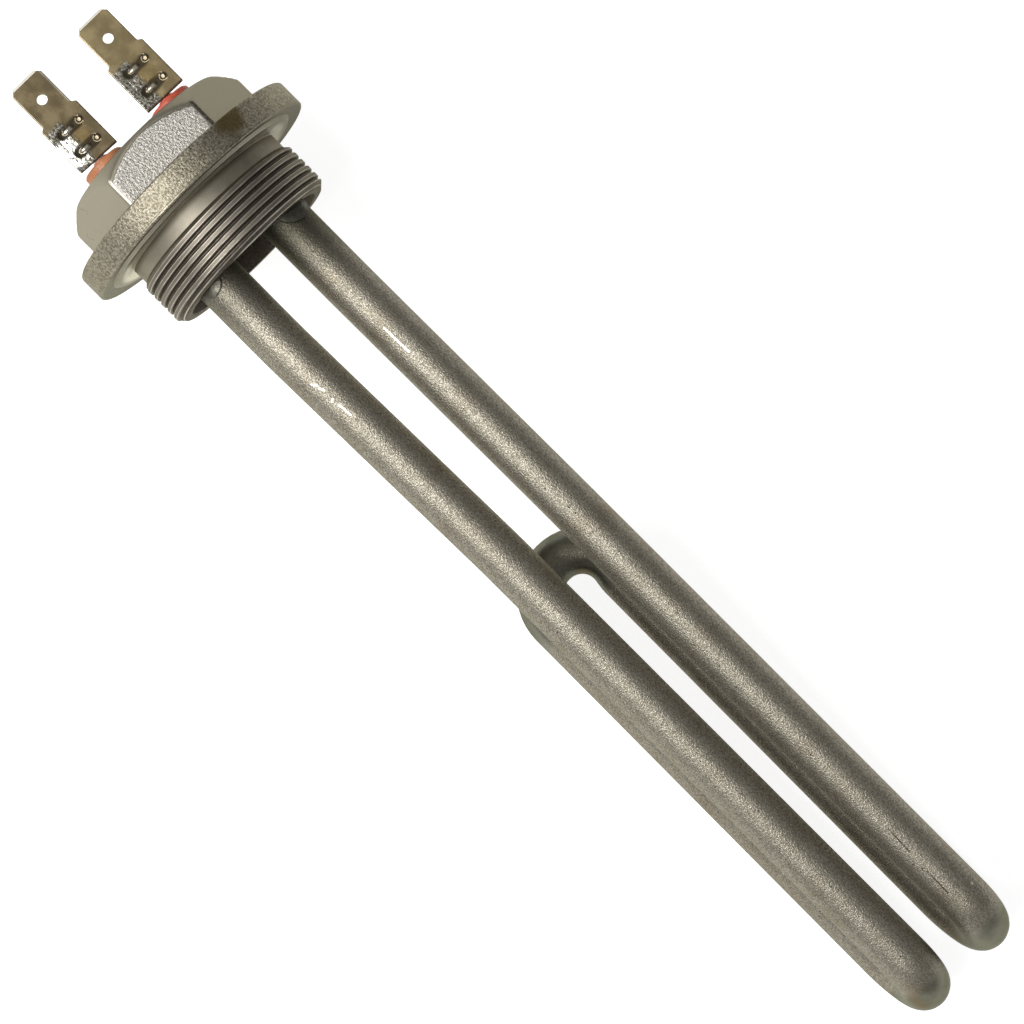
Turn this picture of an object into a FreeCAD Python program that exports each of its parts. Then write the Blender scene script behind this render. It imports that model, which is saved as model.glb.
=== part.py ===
import FreeCAD, Part
import math
import os

from FreeCAD import Vector

# Screw plug immersion heater, millimetres.
# X runs along the screw thread, from the terminals towards the tips of the heating tube.
# The origin is on the thread's axis, seat_x behind the face that the gasket seals on.
# +Z is the side of the two front legs, and +Y is on the right when +X points down the sheet.

# Plug: one forging with hexagon, flange, raised gasket seat, neck, thread and a hollow end
hex_across_flats = 32.0
hex_corner_radius = 1.0
head_height = 12.75
crown_flat_radius = 15.7
crown_slope_deg = 46.0
flange_radius = 22.82
flange_thickness = 4.8
flange_front_x = 0.42
flange_edge_break = 0.38
dish_depth = 0.3
seat_foot_radius = 20.0
seat_radius = 19.2
seat_x = 0.65
neck_radius = 15.75
neck_end_x = 3.5
thread_radius = 16.5
thread_runout = 0.7
thread_end_x = 12.33
thread_end_drop = 1.14
thread_end_chamfer = 1.1
cup_radius = 13.9
cup_floor_x = 1.0
cup_floor_bevel = 1.2
hole_chamfer = 0.3

# Heating tube: one length with two end hairpins and a middle bend
tube_radius = 4.25
tube_wall = 0.75
braze_clearance = 0.05
leg_pitch = 14.5
leg_height = 5.4
bend_radius = 6.85
bend_straight = 0.1
tip_reach = 166.6
middle_bend_gap = 66.5
knee_x = (26.0, 76.0)
knee_radius = 180.0
middle_lean = 0.83
tip_lean = 1.27
return_lean = -0.33
tube_end_recess = 0.3
left_end_extra = 0.3

# Inside the tube
pin_radius = 1.2
pin_end_break = 0.3
pin_inner_x = 22.0
pin_past_foot = 9.2
coil_radius = 1.65

# End seals
seal_radius = 3.95
seal_height = 1.9
seal_edge_break = 0.3
seal_depth = 6.0
seal_nipple_radius = 1.45

# Blade terminals, welded to the pins
blade_width = 6.3
blade_length = 8.0
blade_corner = 0.95
blade_bevel = 0.2
blade_hole_radius = 0.9
blade_hole_from_tip = 4.35
tab_thickness = 0.8
tab_width = 7.7
tab_length = 17.5
tab_corner_radius = 0.4
tab_gap = 2.5
tab_side_shift = 0.2
weld_flat = 0.25
dimple_from_foot = (2.9, 7.0)
dimple_length = 5.0
dimple_tool_radius = 1.6
dimple_depth = 0.35

# Braze at the tube holes, with a tongue drawn up between each tube and the near wall of the cup
braze_fillet = 1.5
tongue_thickness = 0.5
tongue_radius = {"left": 2.6, "right": 3.1}
tongue_past_rim = {"left": 1.5, "right": 2.4}
tongue_lean_deg = 28.0

# Worked out from the sizes above
along = Vector(1, 0, 0)
sides = {"left": -1, "right": 1}
flange_back_x = flange_front_x - flange_thickness
hole_radius = tube_radius + braze_clearance
bore_radius = tube_radius - tube_wall
tip_x = thread_end_x + tip_reach - tube_radius
middle_bend_x = thread_end_x + middle_bend_gap + tube_radius
bend_pitch = 2 * bend_radius + bend_straight
return_height = leg_height - math.sqrt(bend_pitch**2 - (tip_lean - return_lean) ** 2)


def leg_y(side):
    return sides[side] * leg_pitch / 2


def tube_end_x(side):
    recess = tube_end_recess if side == "right" else tube_end_recess - left_end_extra
    return recess - head_height


def tab_foot_x(side):
    return tube_end_x(side) - tab_gap


# Edges through the points, with an arc of the given radius at each corner that has one
def rounded_edges(points, radii, closed):
    count = len(points)
    starts, ends, arcs = [], [], []
    for i, corner in enumerate(points):
        if radii[i] == 0:
            starts.append(corner)
            ends.append(corner)
            arcs.append(None)
            continue
        before = (points[i - 1] - corner).normalize()
        after = (points[(i + 1) % count] - corner).normalize()
        half_angle = before.getAngle(after) / 2
        reach = radii[i] / math.tan(half_angle)
        inwards = (before + after).normalize()
        centre = corner + inwards * (radii[i] / math.sin(half_angle))
        starts.append(corner + before * reach)
        ends.append(corner + after * reach)
        arcs.append(Part.Arc(starts[i], centre - inwards * radii[i], ends[i]).toShape())
    edges = []
    for i in range(count):
        if arcs[i]:
            edges.append(arcs[i])
        if i == count - 1 and not closed:
            break
        a, b = ends[i], starts[(i + 1) % count]
        if a.distanceToPoint(b) > 1e-6:
            edges.append(Part.makeLine(a, b))
    return edges


# A solid of revolution about a line along X; outline is a list of (x, radius, edge break)
def turned(outline, y=0.0, z=0.0):
    corners = [Vector(x, y, z + r) for x, r, edge_break in outline]
    points = []
    for i, (x, r, edge_break) in enumerate(outline):
        if edge_break == 0:
            points.append(corners[i])
            continue
        for neighbour in (corners[i - 1], corners[(i + 1) % len(corners)]):
            points.append(corners[i] + (neighbour - corners[i]).normalize() * edge_break)
    wire = Part.makePolygon(points + points[:1])
    return Part.Face(wire).revolve(Vector(0, y, z), along, 360)


def ring_face(centre, direction, outer, inner):
    rims = [Part.Wire(Part.makeCircle(outer, centre, direction))]
    if inner:
        rims.append(Part.Wire(Part.makeCircle(inner, centre, direction)))
        return Part.Face(rims[0]).cut(Part.Face(rims[1])).Faces[0]
    return Part.Face(rims[0])


# A round bar or tube that follows straight runs and arcs
def tube_along(edges, outer, inner=0.0):
    pieces = []
    for edge in edges:
        first, last = edge.FirstParameter, edge.LastParameter
        start = edge.valueAt(first)
        face = ring_face(start, edge.tangentAt(first), outer, inner)
        if edge.Curve.TypeId == "Part::GeomLine":
            pieces.append(face.extrude(edge.valueAt(last) - start))
        else:
            turn = math.degrees(last - first)
            pieces.append(face.revolve(edge.Curve.Center, edge.Curve.Axis, turn))
    return pieces[0].fuse(pieces[1:]).removeSplitter() if len(pieces) > 1 else pieces[0]


def front_leg_points(side, start_x):
    near = leg_y(side)
    half_pitch = sides[side] * bend_pitch / 2
    return [
        Vector(start_x, near, leg_height),
        Vector(knee_x[0], near, leg_height),
        Vector(knee_x[1], middle_lean + half_pitch, leg_height),
        Vector(tip_x, tip_lean + half_pitch, leg_height),
    ]


def return_leg_points(side):
    y = return_lean + sides[side] * bend_pitch / 2
    return [Vector(tip_x, y, return_height), Vector(middle_bend_x, y, return_height)]


# Centre line of the heating tube, from the left end round to the right end
def tube_path(left_start_x, right_start_x):
    left_half = front_leg_points("left", left_start_x) + return_leg_points("left")
    right_half = front_leg_points("right", right_start_x) + return_leg_points("right")
    half_radii = [0] + [knee_radius] * len(knee_x) + [bend_radius] * 3
    points = left_half + right_half[::-1]
    return rounded_edges(points, half_radii + half_radii[::-1], False)


def hexagon():
    corner_reach = hex_across_flats / math.sqrt(3)
    points = []
    for i in range(6):
        turn = math.radians(60 * i)
        points.append(
            Vector(-head_height, corner_reach * math.cos(turn), corner_reach * math.sin(turn))
        )
    edges = rounded_edges(points, [hex_corner_radius] * 6, True)
    bar = Part.Face(Part.Wire(edges)).extrude(along * (head_height - flange_thickness / 2))
    fall = math.tan(math.radians(crown_slope_deg))
    outer = hex_across_flats
    crown = turned(
        [
            (-head_height, 0, 0),
            (-head_height, crown_flat_radius, 0),
            (-head_height + (outer - crown_flat_radius) * fall, outer, 0),
            (hex_across_flats, outer, 0),
            (hex_across_flats, 0, 0),
        ]
    )
    return bar.common(crown)


def plug_body():
    thread_start = neck_end_x + thread_runout
    body = turned(
        [
            (flange_back_x, 0, 0),
            (flange_back_x, flange_radius, flange_edge_break),
            (flange_front_x, flange_radius, flange_edge_break),
            (flange_front_x - dish_depth, seat_foot_radius, 0),
            (seat_x, seat_radius, 0),
            (seat_x, neck_radius, 0),
            (neck_end_x, neck_radius, 0),
            (thread_start, thread_radius, 0),
            (thread_end_x - thread_end_chamfer, thread_radius, 0),
            (thread_end_x, thread_radius - thread_end_drop, 0),
            (thread_end_x, cup_radius, 0),
            (cup_floor_x, cup_radius, cup_floor_bevel),
            (cup_floor_x, 0, 0),
        ]
    )
    body = body.fuse(hexagon())
    for side in sides:
        y = leg_y(side)
        mouth = hole_radius + hole_chamfer
        hole = turned(
            [
                (-head_height, 0, 0),
                (-head_height, mouth, 0),
                (-head_height + hole_chamfer, hole_radius, 0),
                (cup_floor_x + cup_floor_bevel, hole_radius, 0),
                (cup_floor_x + cup_floor_bevel, 0, 0),
            ],
            y,
            leg_height,
        )
        body = body.cut(hole)
    return body.removeSplitter()


def heater_sheath():
    path = tube_path(tube_end_x("left"), tube_end_x("right"))
    return tube_along(path, tube_radius, bore_radius)


def resistance_coil():
    start = pin_inner_x
    return tube_along(tube_path(start, start), coil_radius)


def insulation_fill():
    start = pin_inner_x
    sleeve = tube_along(tube_path(start, start), bore_radius, coil_radius)
    for side in sides:
        outer_end = Vector(tube_end_x(side) + seal_depth, leg_y(side), leg_height)
        inner_end = Vector(start, leg_y(side), leg_height)
        run = [Part.makeLine(outer_end, inner_end)]
        sleeve = sleeve.fuse(tube_along(run, bore_radius, pin_radius))
    return sleeve.removeSplitter()


def cold_pin(side):
    foot = tab_foot_x(side)
    tip = foot - pin_past_foot
    y = leg_y(side)
    pin = turned(
        [
            (tip, 0, 0),
            (tip, pin_radius, pin_end_break),
            (pin_inner_x, pin_radius, 0),
            (pin_inner_x, 0, 0),
        ],
        y,
        leg_height,
    )
    floor = leg_height + pin_radius - weld_flat
    shaving = Part.makeBox(
        foot - tip + pin_radius,
        2 * pin_radius,
        pin_radius,
        Vector(tip - pin_radius, y - pin_radius, floor),
    )
    return pin.cut(shaving)


def end_seal(side):
    base = tube_end_x(side)
    top = base - seal_height
    return turned(
        [
            (base + seal_depth, pin_radius, 0),
            (base + seal_depth, bore_radius, 0),
            (base, bore_radius, 0),
            (base, seal_radius, 0),
            (top, seal_radius, seal_edge_break),
            (top, seal_nipple_radius, 0),
            (tab_foot_x(side), seal_nipple_radius, 0),
            (tab_foot_x(side), pin_radius, 0),
        ],
        leg_y(side),
        leg_height,
    )


def weld_dimple(x, y, top):
    height = top + dimple_tool_radius - dimple_depth
    half_run = dimple_length / 2 - math.sqrt(
        dimple_tool_radius**2 - (dimple_tool_radius - dimple_depth) ** 2
    )
    ends = [Vector(x, y - half_run, height), Vector(x, y + half_run, height)]
    tool = Part.makeCylinder(dimple_tool_radius, 2 * half_run, ends[0], Vector(0, 1, 0))
    for end in ends:
        tool = tool.fuse(Part.makeSphere(dimple_tool_radius, end))
    return tool


def terminal_tab(side):
    foot = tab_foot_x(side)
    tip = foot - tab_length
    shoulder = tip + blade_length
    y = leg_y(side) + tab_side_shift
    floor = leg_height + pin_radius - weld_flat
    top = floor + tab_thickness
    half_blade, half_tab = blade_width / 2, tab_width / 2
    right_edge = [
        (tip, half_blade - blade_corner, 0),
        (tip + blade_corner, half_blade, 0),
        (shoulder, half_blade, tab_corner_radius),
        (shoulder + half_tab - half_blade, half_tab, tab_corner_radius),
        (foot, half_tab, 0),
    ]
    left_edge = [(x, -half, corner) for x, half, corner in right_edge[::-1]]
    outline = right_edge + left_edge
    points = [Vector(x, y + half, floor) for x, half, corner in outline]
    edges = rounded_edges(points, [corner for x, half, corner in outline], True)
    tab = Part.Face(Part.Wire(edges)).extrude(Vector(0, 0, tab_thickness))
    blade_rims = [
        edge
        for edge in tab.Edges
        if edge.BoundBox.XMax < shoulder and edge.BoundBox.ZLength < tab_thickness / 2
    ]
    tab = tab.makeChamfer(blade_bevel, blade_rims)
    hole_at = Vector(tip + blade_hole_from_tip, y, floor)
    tab = tab.cut(Part.makeCylinder(blade_hole_radius, tab_thickness, hole_at))
    for distance in dimple_from_foot:
        tab = tab.cut(weld_dimple(foot - distance, y, top))
    return tab


def braze_piece(side, plug):
    y = leg_y(side)
    ring = turned(
        [
            (cup_floor_x, tube_radius, 0),
            (cup_floor_x, tube_radius + braze_fillet, 0),
            (cup_floor_x + braze_fillet, tube_radius, 0),
        ],
        y,
        leg_height,
    )
    lean = math.radians(tongue_lean_deg)
    outwards = Vector(0, sides[side] * math.sin(lean), math.cos(lean))
    base = Vector(cup_floor_x, y, leg_height) + outwards * tube_radius
    run = thread_end_x + tongue_past_rim[side] - tongue_radius[side] - cup_floor_x
    capsule = Part.makeCylinder(tongue_radius[side], run, base, along)
    capsule = capsule.fuse(Part.makeSphere(tongue_radius[side], base + along * run))
    skin_start = Vector(cup_floor_x, y, leg_height)
    skin_end = Vector(thread_end_x + tongue_past_rim[side], y, leg_height)
    skin_run = [Part.makeLine(skin_start, skin_end)]
    skin = tube_along(skin_run, tube_radius + tongue_thickness, tube_radius)
    return ring.fuse(skin.common(capsule)).cut(plug)


def main():
    os.makedirs("parts", exist_ok=True)
    plug = plug_body()
    nodes = {
        "plug_body": plug,
        "heater_sheath": heater_sheath(),
        "insulation_fill": insulation_fill(),
        "resistance_coil": resistance_coil(),
    }
    for side in sides:
        nodes["cold_pin_" + side] = cold_pin(side)
        nodes["end_seal_" + side] = end_seal(side)
        nodes["terminal_tab_" + side] = terminal_tab(side)
        nodes["braze_fillet_" + side] = braze_piece(side, plug)
    for name, shape in nodes.items():
        shape.exportStep("parts/" + name + ".step")
        print(name, shape.ShapeType, len(shape.Solids), "solid", round(shape.Volume, 2), shape.isValid())


main()
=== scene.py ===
import bpy
import bmesh
import math
from mathutils import Matrix, Vector, noise as meshNoise


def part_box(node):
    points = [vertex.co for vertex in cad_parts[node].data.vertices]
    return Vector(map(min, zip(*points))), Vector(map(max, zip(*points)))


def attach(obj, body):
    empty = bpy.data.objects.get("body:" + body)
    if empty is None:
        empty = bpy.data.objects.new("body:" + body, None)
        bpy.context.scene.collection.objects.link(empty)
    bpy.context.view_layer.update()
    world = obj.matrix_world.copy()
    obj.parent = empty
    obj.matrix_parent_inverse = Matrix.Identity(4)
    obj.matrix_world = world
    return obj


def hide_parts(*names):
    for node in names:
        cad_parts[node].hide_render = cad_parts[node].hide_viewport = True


# Screw plug immersion heater, lying on a pale table. Values are in millimetres unless a name says more.
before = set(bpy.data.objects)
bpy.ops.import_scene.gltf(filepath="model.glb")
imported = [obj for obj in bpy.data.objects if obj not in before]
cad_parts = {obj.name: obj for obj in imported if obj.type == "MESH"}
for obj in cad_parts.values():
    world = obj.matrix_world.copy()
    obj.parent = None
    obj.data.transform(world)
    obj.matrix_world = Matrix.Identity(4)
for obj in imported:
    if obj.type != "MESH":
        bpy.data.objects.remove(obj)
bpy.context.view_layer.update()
mm = 0.001
scene = bpy.context.scene
sides = {"left": -1, "right": 1}


def readBox(node):
    low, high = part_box(node)
    return low / mm, high / mm


# Node tree helpers, for shaders and for geometry alike

# A value on its way through a node tree. Each sign used on it adds the math node that does the same
class Flow:
    def __init__(self, tree, socket):
        self.tree = tree
        self.socket = socket

    def __add__(self, other):
        return calc("ADD", self, other)

    def __radd__(self, other):
        return calc("ADD", other, self)

    def __sub__(self, other):
        return calc("SUBTRACT", self, other)

    def __rsub__(self, other):
        return calc("SUBTRACT", other, self)

    def __mul__(self, other):
        return calc("MULTIPLY", self, other)

    def __truediv__(self, other):
        return calc("DIVIDE", self, other)

    def __rtruediv__(self, other):
        return calc("DIVIDE", other, self)


def feed(socket, value):
    if isinstance(value, Flow):
        value.tree.links.new(value.socket, socket)
    else:
        socket.default_value = value


def addNode(tree, kind, values=(), **settings):
    node = tree.nodes.new(kind)
    for name, value in settings.items():
        setattr(node, name, value)
    for key, value in dict(values).items():
        feed(node.inputs[key], value)
    return node


def flow(tree, kind, values=(), output=0, **settings):
    return Flow(tree, addNode(tree, kind, values, **settings).outputs[output])


def calc(operation, *values):
    tree = next(value.tree for value in values if isinstance(value, Flow))
    return flow(tree, "ShaderNodeMath", enumerate(values), operation=operation)


def vector(operation, *values):
    output = "Value" if operation in ("DISTANCE", "DOT_PRODUCT") else 0
    return flow(values[0].tree, "ShaderNodeVectorMath", enumerate(values), output, operation=operation)


def scaled(tree, value, scale):
    return flow(tree, "ShaderNodeVectorMath", {0: value, "Scale": scale}, operation="SCALE")


def axes(value):
    node = addNode(value.tree, "ShaderNodeSeparateXYZ", {0: value})
    return [Flow(value.tree, socket) for socket in node.outputs]


def joinAxes(tree, *values):
    return flow(tree, "ShaderNodeCombineXYZ", enumerate(values))


def ramp(value, low, high, toLow=0.0, toHigh=1.0, smooth=True):
    ends = {"Value": value, "From Min": low, "From Max": high, "To Min": toLow, "To Max": toHigh}
    kind = "SMOOTHSTEP" if smooth else "LINEAR"
    return flow(value.tree, "ShaderNodeMapRange", ends, interpolation_type=kind)


def geometryTree(name, inputs):
    tree = bpy.data.node_groups.new(name, "GeometryNodeTree")
    tree.interface.new_socket("Geometry", in_out="INPUT", socket_type="NodeSocketGeometry")
    for label, value in inputs.items():
        kind = "NodeSocketInt" if isinstance(value, int) else "NodeSocketFloat"
        tree.interface.new_socket(label, in_out="INPUT", socket_type=kind)
    tree.interface.new_socket("Material", in_out="INPUT", socket_type="NodeSocketMaterial")
    tree.interface.new_socket("Geometry", in_out="OUTPUT", socket_type="NodeSocketGeometry")
    entry = addNode(tree, "NodeGroupInput")
    return tree, {socket.name: Flow(tree, socket) for socket in entry.outputs}


def endTree(tree, entry, geometry):
    smooth = flow(tree, "GeometryNodeSetShadeSmooth", {0: geometry})
    real = flow(tree, "GeometryNodeRealizeInstances", {0: smooth})
    painted = flow(tree, "GeometryNodeSetMaterial", {"Geometry": real, "Material": entry["Material"]})
    addNode(tree, "NodeGroupOutput", {0: painted})


# Runs a tree on a starting mesh or curve and keeps the plain mesh that comes out
def growMesh(name, start, tree, inputs, material):
    seedling = bpy.data.objects.new(name + "Start", start)
    scene.collection.objects.link(seedling)
    modifier = seedling.modifiers.new("grow", "NODES")
    modifier.node_group = tree
    for item in tree.interface.items_tree:
        if item.in_out == "INPUT" and item.name in inputs:
            modifier[item.identifier] = inputs[item.name]
        if item.in_out == "INPUT" and item.name == "Material":
            modifier[item.identifier] = material
    bpy.context.view_layer.update()
    grown = seedling.evaluated_get(bpy.context.evaluated_depsgraph_get())
    mesh = bpy.data.meshes.new_from_object(grown)
    seedling.modifiers.remove(modifier)
    bpy.data.objects.remove(seedling)
    return addPiece(name, mesh, material)


def addPiece(name, mesh, material):
    mesh.name = name
    mesh.materials.clear()
    mesh.materials.append(material)
    piece = bpy.data.objects.new(name, mesh)
    scene.collection.objects.link(piece)
    return piece


def tidyMesh(piece, gap=1e-6):
    work = bmesh.new()
    work.from_mesh(piece.data)
    bmesh.ops.remove_doubles(work, verts=work.verts, dist=gap)
    bmesh.ops.recalc_face_normals(work, faces=work.faces)
    work.to_mesh(piece.data)
    work.free()
    for face in piece.data.polygons:
        face.use_smooth = True


def applyModifiers(piece):
    done = piece.evaluated_get(bpy.context.evaluated_depsgraph_get())
    mesh = bpy.data.meshes.new_from_object(done)
    piece.modifiers.clear()
    piece.data = mesh


# Corners of an open line rounded with arcs, returned as points
def roundedLine(corners, arcSteps=6):
    points = []
    for i, (place, radius) in enumerate(corners):
        here = Vector(place)
        if radius == 0 or i in (0, len(corners) - 1):
            points.append(here)
            continue
        back = (Vector(corners[i - 1][0]) - here).normalized()
        onward = (Vector(corners[i + 1][0]) - here).normalized()
        half = back.angle(onward) / 2
        centre = here + (back + onward).normalized() * (radius / math.sin(half))
        start = (here + back * (radius / math.tan(half)) - centre).normalized()
        end = (here + onward * (radius / math.tan(half)) - centre).normalized()
        for step in range(arcSteps + 1):
            points.append(centre + start.slerp(end, step / arcSteps) * radius)
    return points


# Extra points on an open line, no further apart than the spacing
def denser(points, spacing):
    full = [points[0]]
    for a, b in zip(points, points[1:]):
        gap = (b - a).length
        if gap < 1e-4:
            continue
        steps = max(1, math.ceil(gap / spacing))
        full += [a.lerp(b, step / steps) for step in range(1, steps + 1)]
    return full


def lineMesh(name, points):
    mesh = bpy.data.meshes.new(name)
    mesh.from_pydata([p * mm for p in points], [(i, i + 1) for i in range(len(points) - 1)], [])
    return mesh


# Materials. Shader places and sizes are in millimetres

def newMaterial(name, metallic, roughness, specular=0.5, edge=(1.0, 1.0, 1.0)):
    material = bpy.data.materials.new(name)
    material.use_nodes = True
    tree = material.node_tree
    shader = tree.nodes["Principled BSDF"]
    for key, value in (("Metallic", metallic), ("Roughness", roughness), ("Specular IOR Level", specular),
                       ("Specular Tint", (*edge, 1.0))):
        shader.inputs[key].default_value = value
    place = vector("MULTIPLY", flow(tree, "ShaderNodeTexCoord", output="Object"), (1 / mm,) * 3)
    return material, tree, shader, place


def finishShader(shader, colour, roughness, normal):
    for key, value in (("Base Color", colour), ("Roughness", roughness), ("Normal", normal)):
        feed(shader.inputs[key], value)


def noise(place, size, detail=3.0, roughness=0.6, warp=0.0):
    values = {"Vector": place, "Scale": 1 / size, "Detail": detail, "Roughness": roughness, "Distortion": warp}
    return flow(place.tree, "ShaderNodeTexNoise", values, "Fac")


def pits(place, spacing, low, high):
    away = flow(place.tree, "ShaderNodeTexVoronoi", {"Vector": place, "Scale": 1 / spacing}, "Distance")
    return ramp(away, low, high, 1.0, 0.0)


def mixColour(factor, a, b):
    first, second = [(*colour, 1.0) if isinstance(colour, tuple) else colour for colour in (a, b)]
    return flow(factor.tree, "ShaderNodeMix", {"Factor": factor, 6: first, 7: second}, 2, data_type="RGBA")


def bump(height, distance, under=None):
    values = {"Height": height, "Distance": distance * mm}
    if under is not None:
        values["Normal"] = under
    return flow(height.tree, "ShaderNodeBump", values)


# Share of the way into a band of values, with soft ends
def band(value, low, high, soft=0.1):
    return ramp(value, low - soft, low + soft) * ramp(value, high - soft, high + soft, 1.0, 0.0)


# Soft ragged patch round a place
def patch(place, at, reach, ragged, strength=1.0):
    away = vector("DISTANCE", place, at) + ragged * -reach
    return ramp(away, -0.1 * reach, 0.5 * reach, strength, 0.0)


# Soft line between two places
def scratch(place, start, end, width, strength=1.0):
    along = Vector(end) - Vector(start)
    offset = vector("SUBTRACT", place, start)
    share = vector("DOT_PRODUCT", offset, tuple(along)) / along.length_squared
    within = flow(place.tree, "ShaderNodeClamp", {0: share})
    foot = scaled(place.tree, tuple(along), within)
    off = vector("DISTANCE", offset, foot) / width
    return ramp(off, 0.5, 1.0, strength, 0.0)


sheathLook = {
    "metallic": 0.9, "edge": (0.54, 0.54, 0.45), "grainSize": 0.27, "grainHeight": 0.11, "grainSpan": (0.36, 0.62),
    "coarseSize": 0.8, "coarseShare": 0.4, "patchSize": 7.0, "rough": (0.50, 0.36), "smoothRough": (0.40, 0.34),
    "smoothGrain": 0.25, "light": (0.37, 0.342, 0.282), "dark": (0.19, 0.172, 0.132),
    "pit": (0.05, 0.042, 0.03), "pitSpacing": 1.7, "pitRadius": (0.03, 0.09), "markDepth": 0.9,
    "bend": ((0.20, 0.196, 0.155), (0.125, 0.121, 0.09)),
    "brown": (0.17, 0.125, 0.08), "bendBrown": 0.6, "legBrown": 0.3,
    "root": (0.062, 0.058, 0.041), "rootShadeReach": (13.0, 26.0, 31.0), "rootShadeRagged": 9.0, "rootShadeShare": (0.5, 0.95),
    "tipStart": 172.5, "middleBend": (75.5, 92.0), "bendDepth": (-3.0, -5.0),
    "scuff": (0.95, 0.93, 0.86), "scuffWidth": 0.22, "scratchWidth": 0.12,
    "scuffs": (((36.3, 6.0, 9.42), (41.8, 6.13, 9.47)), ((34.6, -8.6, 9.3), (35.4, -8.1, 9.5)),
               ((35.9, -8.24, 9.45), (36.6, -7.84, 9.55)), ((38.6, -7.9, 9.5), (38.8, -8.25, 9.43)),
               ((40.0, -7.83, 9.55), (42.5, -7.59, 9.6))),
    "scratches": (((160.0, 6.57, 9.36), (164.7, 6.48, 9.32)), ((150.5, 6.9, 9.5), (155.5, 6.75, 9.45))),
    "dot": ((166.4, 10.4, 9.0), (166.5, 10.4, 9.0)),
}


def sheathMaterial():
    look = sheathLook
    material, tree, shader, place = newMaterial("blastedTube", look["metallic"], 0.5, edge=look["edge"])
    x, y, z = axes(place)
    grain = noise(place, look["grainSize"], 2.0, 0.65)
    coarse = noise(place, look["coarseSize"])
    patches = noise(place, look["patchSize"], 4.0)
    lowBend = band(x, *look["middleBend"], 2.0) * ramp(z, *look["bendDepth"])
    smooth = calc("MAXIMUM", lowBend, ramp(x, look["tipStart"] - 1.0, look["tipStart"] + 1.5))
    colour = mixColour(ramp(grain, *look["grainSpan"]), look["dark"], look["light"])
    colour = mixColour(ramp(coarse, 0.45, 0.7, 0.0, look["coarseShare"]), colour, look["dark"])
    bent = mixColour(ramp(patches, 0.35, 0.65), *look["bend"])
    bent = mixColour(ramp(patches, 0.56, 0.62, 0.0, look["bendBrown"]), bent, look["brown"])
    colour = mixColour(smooth, colour, bent)
    colour = mixColour(ramp(patches, 0.5, 0.72, 0.0, look["legBrown"]), colour, look["brown"])
    # Leg roots darker near the plug, most on the +Y leg: painted shade from the plug, partly braze staining
    rootEnd = x + (patches - 0.5) * look["rootShadeRagged"]
    rootShadeAndStain = ramp(rootEnd, look["rootShadeReach"][0], ramp(y, -3, 3, *look["rootShadeReach"][1:]), 1.0, 0.0)
    colour = mixColour(rootShadeAndStain * ramp(y, -3, 3, *look["rootShadeShare"]), colour, look["root"])
    marks = pits(place, look["pitSpacing"], *look["pitRadius"]) * (1.0 - smooth)
    for start, end in look["scratches"]:
        thin = scratch(place, start, end, look["scratchWidth"], 0.8)
        marks = calc("MAXIMUM", marks, thin * ramp(coarse, 0.35, 0.5))
    colour = mixColour(marks, colour, look["pit"])
    for start, end in look["scuffs"] + (look["dot"],):
        wearAndPaintedLight = scratch(place, start, end, look["scuffWidth"], 0.95) * ramp(grain, 0.3, 0.5, 0.3, 1.0)
        colour = mixColour(wearAndPaintedLight, colour, look["scuff"])
    rough = ramp(grain, 0.3, 0.7, *look["rough"])
    sleek = ramp(patches, 0.3, 0.7, *look["smoothRough"])
    level = flow(tree, "ShaderNodeMix", {0: smooth, 2: rough, 3: sleek})
    height = grain * ramp(smooth, 0.0, 1.0, 1.0, look["smoothGrain"])
    height = height - marks * look["markDepth"]
    finishShader(shader, colour, level, bump(height, look["grainHeight"]))
    return material


# Sizes of the plug
plug = {
    "acrossFlats": 32.0, "hexCorner": 1.0, "headTop": -12.75, "crownFlat": 15.7, "crownSlope": 46.0,
    "crownClear": 19.6, "crownEdge": 0.7, "rootFillet": 0.55, "softCorner": 0.5,
    "flangeBack": -4.38, "flangeFront": 0.42, "flangeRadius": 22.82, "flangeEdge": 0.38,
    "seatFootX": 0.12, "seatFootRadius": 20.0, "seatX": 0.65, "seatRadius": 19.2,
    "neckRadius": 15.75, "neckEnd": 3.5, "threadStart": 4.2, "threadRadius": 16.5, "threadEnd": 12.33,
    "endDrop": 1.14, "endChamfer": 1.1, "pitch": 1.5, "threadDepth": 0.66, "crestAt": 4.15, "groove": (0.40, 0.92),
    "threadLead": (0.5, 0.6), "threadReach": 1.4, "cupRadius": 13.9, "cupFloor": 1.0, "cupFillet": 1.2,
    "seatFootRound": 0.15, "seatRound": 0.1, "neckRound": 0.12, "chamferRound": 0.1, "endRound": 0.12, "cupRound": 0.15,
    "spacing": {"crown": 0.9, "side": 0.45, "flange": 0.4, "thread": 0.055, "cup": 1.6}, "filletShare": 0.09,
    "angles": 252, "relief": 0.07, "reliefSize": 1.6, "reliefBack": 0.3, "skinRadius": 12.0, "seed": 3,
    "holeRadius": 4.3, "holeChamfer": 0.3, "holeSegments": 64, "legPitch": 14.5, "legHeight": 5.4, "sharpAngle": 38.0,
}


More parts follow.
